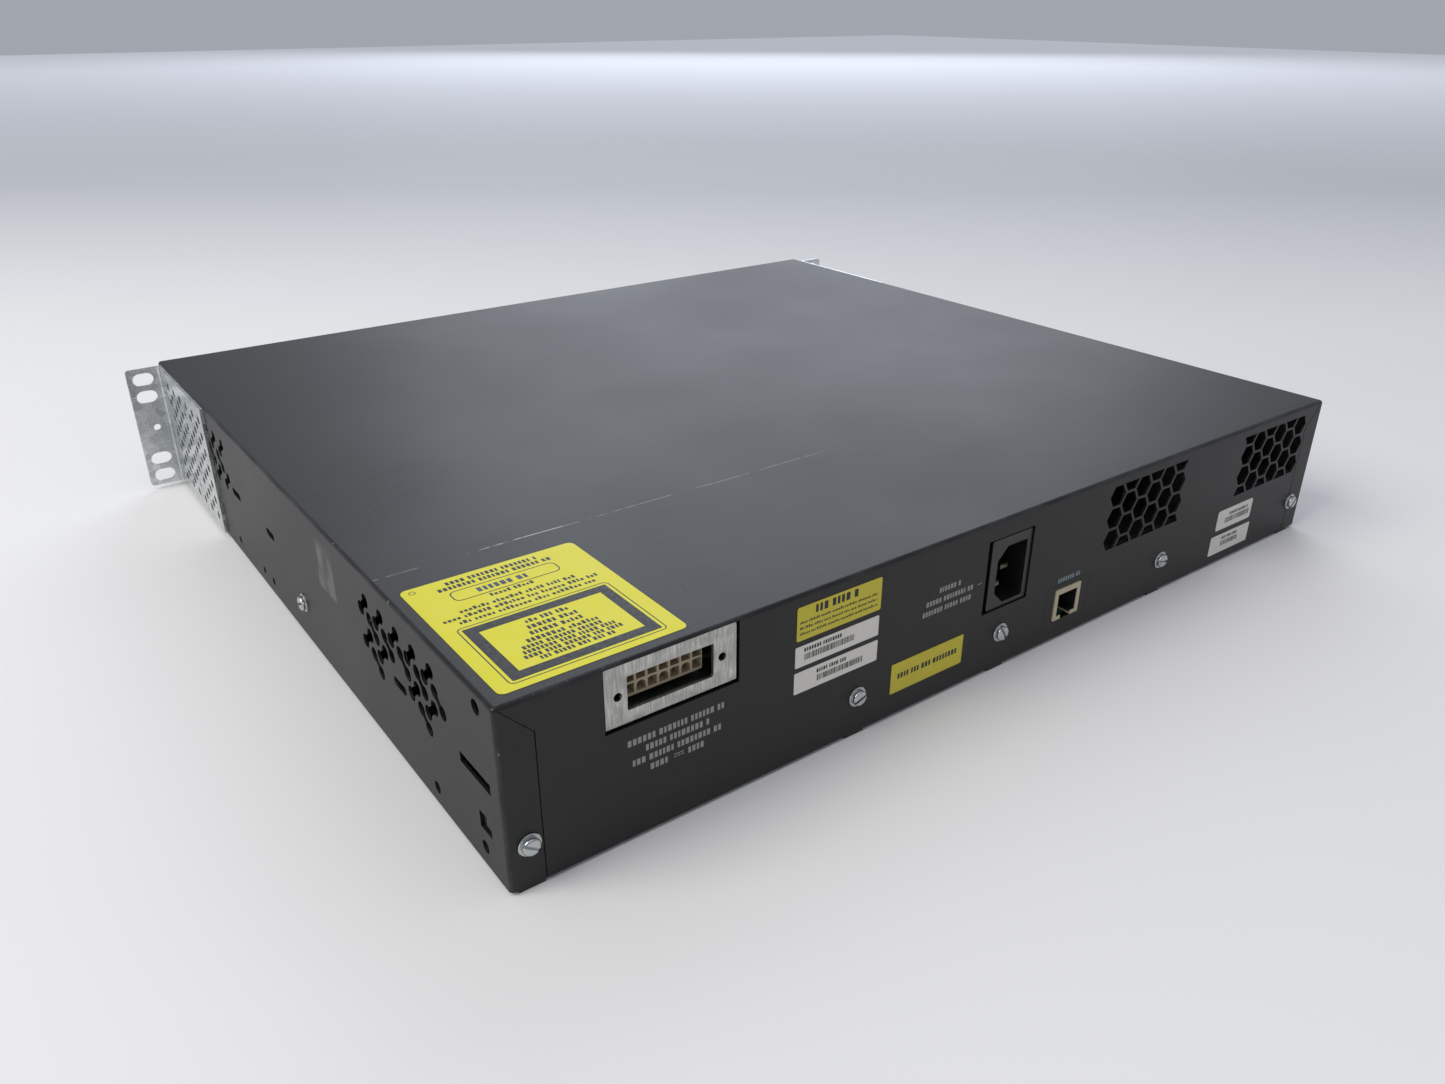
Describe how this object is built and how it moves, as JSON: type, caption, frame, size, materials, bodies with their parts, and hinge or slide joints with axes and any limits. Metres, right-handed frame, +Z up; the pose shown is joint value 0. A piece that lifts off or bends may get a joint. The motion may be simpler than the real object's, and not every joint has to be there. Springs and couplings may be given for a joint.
{
  "type": "rack-mount network appliance",
  "caption": "Shallow dark rack-mount network appliance with perforated ears, rear hexagon vents, mains and DC inputs, a console jack and front module slots.",
  "frame": {"origin": "middle of the underside, on the surface that the unit stands on", "axes": "+X across the width, to the right seen from the front; +Y to the rear wall with the inlets and vents; +Z up"},
  "size_m": [0.481, 0.409, 0.0684],
  "materials": {
    "cover_paint": "fine-textured powder coat, satin",
    "pan_zinc": "galvanised sheet",
    "ear_zinc": "galvanised sheet, spangled",
    "plate_steel": "bare plated steel, satin",
    "screw_zinc": "bright zinc plate",
    "bezel_plastic": "fine moulded texture",
    "ivory_nylon": "ivory moulded nylon",
    "black_plastic": "black moulded plastic",
    "pin_metal": "plated contact",
    "board_green": "solder mask",
    "cage_steel": "nickel-plated sheet",
    "door_steel": "satin sheet",
    "sink_aluminium": "black anodised",
    "chip_black": "moulded epoxy",
    "capacitor_sleeve": "heat-shrunk sleeve",
    "ferrite": "ferrite and tape",
    "blower_plastic": "glass-filled moulding",
    "lead_jacket": "vinyl jacket",
    "light_pipe": "clear moulding",
    "button_plastic": "light grey moulding",
    "caution_yellow": "printed vinyl",
    "label_white": "printed paper"
  },
  "bodies": {
    "chassis": {"top_cover": "cover_paint", "base_pan": "pan_zinc", "front_bezel": "bezel_plastic", "rack_ear_left": "ear_zinc", "rack_ear_right": "ear_zinc", "cover_screws": "screw_zinc", "ear_screws": "screw_zinc", "dc_input_bracket": "plate_steel", "dc_connector_housing": "ivory_nylon", "dc_connector_pins": "pin_metal", "dc_input_board": "board_green", "ac_inlet_housing": "black_plastic", "ac_inlet_pins": "pin_metal", "console_jack": "ivory_nylon", "main_board": "board_green", "board_standoffs": "screw_zinc", "board_screws": "screw_zinc", "module_cages": "cage_steel", "copper_ports": "black_plastic", "jack_contacts": "pin_metal", "led_board": "board_green", "led_board_posts": "black_plastic", "status_leds": "light_pipe", "light_pipes": "light_pipe", "mode_switch": "black_plastic", "board_chips": "chip_black", "heat_sinks": "sink_aluminium", "memory_socket": "black_plastic", "memory_module": "board_green", "psu_board": "board_green", "psu_cage": "cage_steel", "psu_magnetics": "ferrite", "psu_capacitors": "capacitor_sleeve", "psu_heat_sinks": "sink_aluminium", "blower_tray": "pan_zinc", "blower_housings": "blower_plastic", "blower_lids": "blower_plastic", "blower_motors": "ferrite", "blower_screws": "screw_zinc", "harness_plugs": "ivory_nylon", "dc_harness": "lead_jacket", "psu_harness": "lead_jacket", "ac_leads": "lead_jacket", "blower_leads": "lead_jacket", "top_label": "caution_yellow", "rear_caution_labels": "caution_yellow", "rear_id_labels": "label_white"},
    "impeller_1": {"blower_impeller_1": "blower_plastic"},
    "impeller_2": {"blower_impeller_2": "blower_plastic"},
    "mode_button": {"mode_button": "button_plastic"},
    "door_1": {"module_door_1": "door_steel"},
    "door_2": {"module_door_2": "door_steel"},
    "door_3": {"module_door_3": "door_steel"},
    "door_4": {"module_door_4": "door_steel"},
    "door_5": {"module_door_5": "door_steel"},
    "door_6": {"module_door_6": "door_steel"},
    "door_7": {"module_door_7": "door_steel"},
    "door_8": {"module_door_8": "door_steel"},
    "door_9": {"module_door_9": "door_steel"},
    "door_10": {"module_door_10": "door_steel"}
  },
  "joints": [
    {"name": "impeller_1_spin", "type": "hinge", "parent": "chassis", "child": "impeller_1", "pos_m": [-0.0685, 0.152, 0.05], "axis": [0, 0, 1], "continuous": true},
    {"name": "impeller_2_spin", "type": "hinge", "parent": "chassis", "child": "impeller_2", "pos_m": [-0.1675, 0.152, 0.05], "axis": [0, 0, 1], "continuous": true},
    {"name": "mode_button_press", "type": "slide", "parent": "chassis", "child": "mode_button", "axis": [0, 1, 0], "range_m": [0, 0.0008], "stiffness_N_per_m": 400, "springref_m": -0.0005},
    {"name": "door_1_swing", "type": "hinge", "parent": "chassis", "child": "door_1", "pos_m": [-0.12, -0.1948, 0.0254], "axis": [1, 0, 0], "range_deg": [0, 85], "stiffness_Nm_per_rad": 0.002, "springref_deg": -17.19},
    {"name": "door_2_swing", "type": "hinge", "parent": "chassis", "child": "door_2", "pos_m": [-0.08, -0.1948, 0.0254], "axis": [1, 0, 0], "range_deg": [0, 85], "stiffness_Nm_per_rad": 0.002, "springref_deg": -17.19},
    {"name": "door_3_swing", "type": "hinge", "parent": "chassis", "child": "door_3", "pos_m": [-0.04, -0.1948, 0.0254], "axis": [1, 0, 0], "range_deg": [0, 85], "stiffness_Nm_per_rad": 0.002, "springref_deg": -17.19},
    {"name": "door_4_swing", "type": "hinge", "parent": "chassis", "child": "door_4", "pos_m": [0, -0.1948, 0.0254], "axis": [1, 0, 0], "range_deg": [0, 85], "stiffness_Nm_per_rad": 0.002, "springref_deg": -17.19},
    {"name": "door_5_swing", "type": "hinge", "parent": "chassis", "child": "door_5", "pos_m": [0.04, -0.1948, 0.0254], "axis": [1, 0, 0], "range_deg": [0, 85], "stiffness_Nm_per_rad": 0.002, "springref_deg": -17.19},
    {"name": "door_6_swing", "type": "hinge", "parent": "chassis", "child": "door_6", "pos_m": [-0.12, -0.1948, 0.0434], "axis": [1, 0, 0], "range_deg": [0, 85], "stiffness_Nm_per_rad": 0.002, "springref_deg": -17.19},
    {"name": "door_7_swing", "type": "hinge", "parent": "chassis", "child": "door_7", "pos_m": [-0.08, -0.1948, 0.0434], "axis": [1, 0, 0], "range_deg": [0, 85], "stiffness_Nm_per_rad": 0.002, "springref_deg": -17.19},
    {"name": "door_8_swing", "type": "hinge", "parent": "chassis", "child": "door_8", "pos_m": [-0.04, -0.1948, 0.0434], "axis": [1, 0, 0], "range_deg": [0, 85], "stiffness_Nm_per_rad": 0.002, "springref_deg": -17.19},
    {"name": "door_9_swing", "type": "hinge", "parent": "chassis", "child": "door_9", "pos_m": [0, -0.1948, 0.0434], "axis": [1, 0, 0], "range_deg": [0, 85], "stiffness_Nm_per_rad": 0.002, "springref_deg": -17.19},
    {"name": "door_10_swing", "type": "hinge", "parent": "chassis", "child": "door_10", "pos_m": [0.04, -0.1948, 0.0434], "axis": [1, 0, 0], "range_deg": [0, 85], "stiffness_Nm_per_rad": 0.002, "springref_deg": -17.19}
  ]
}
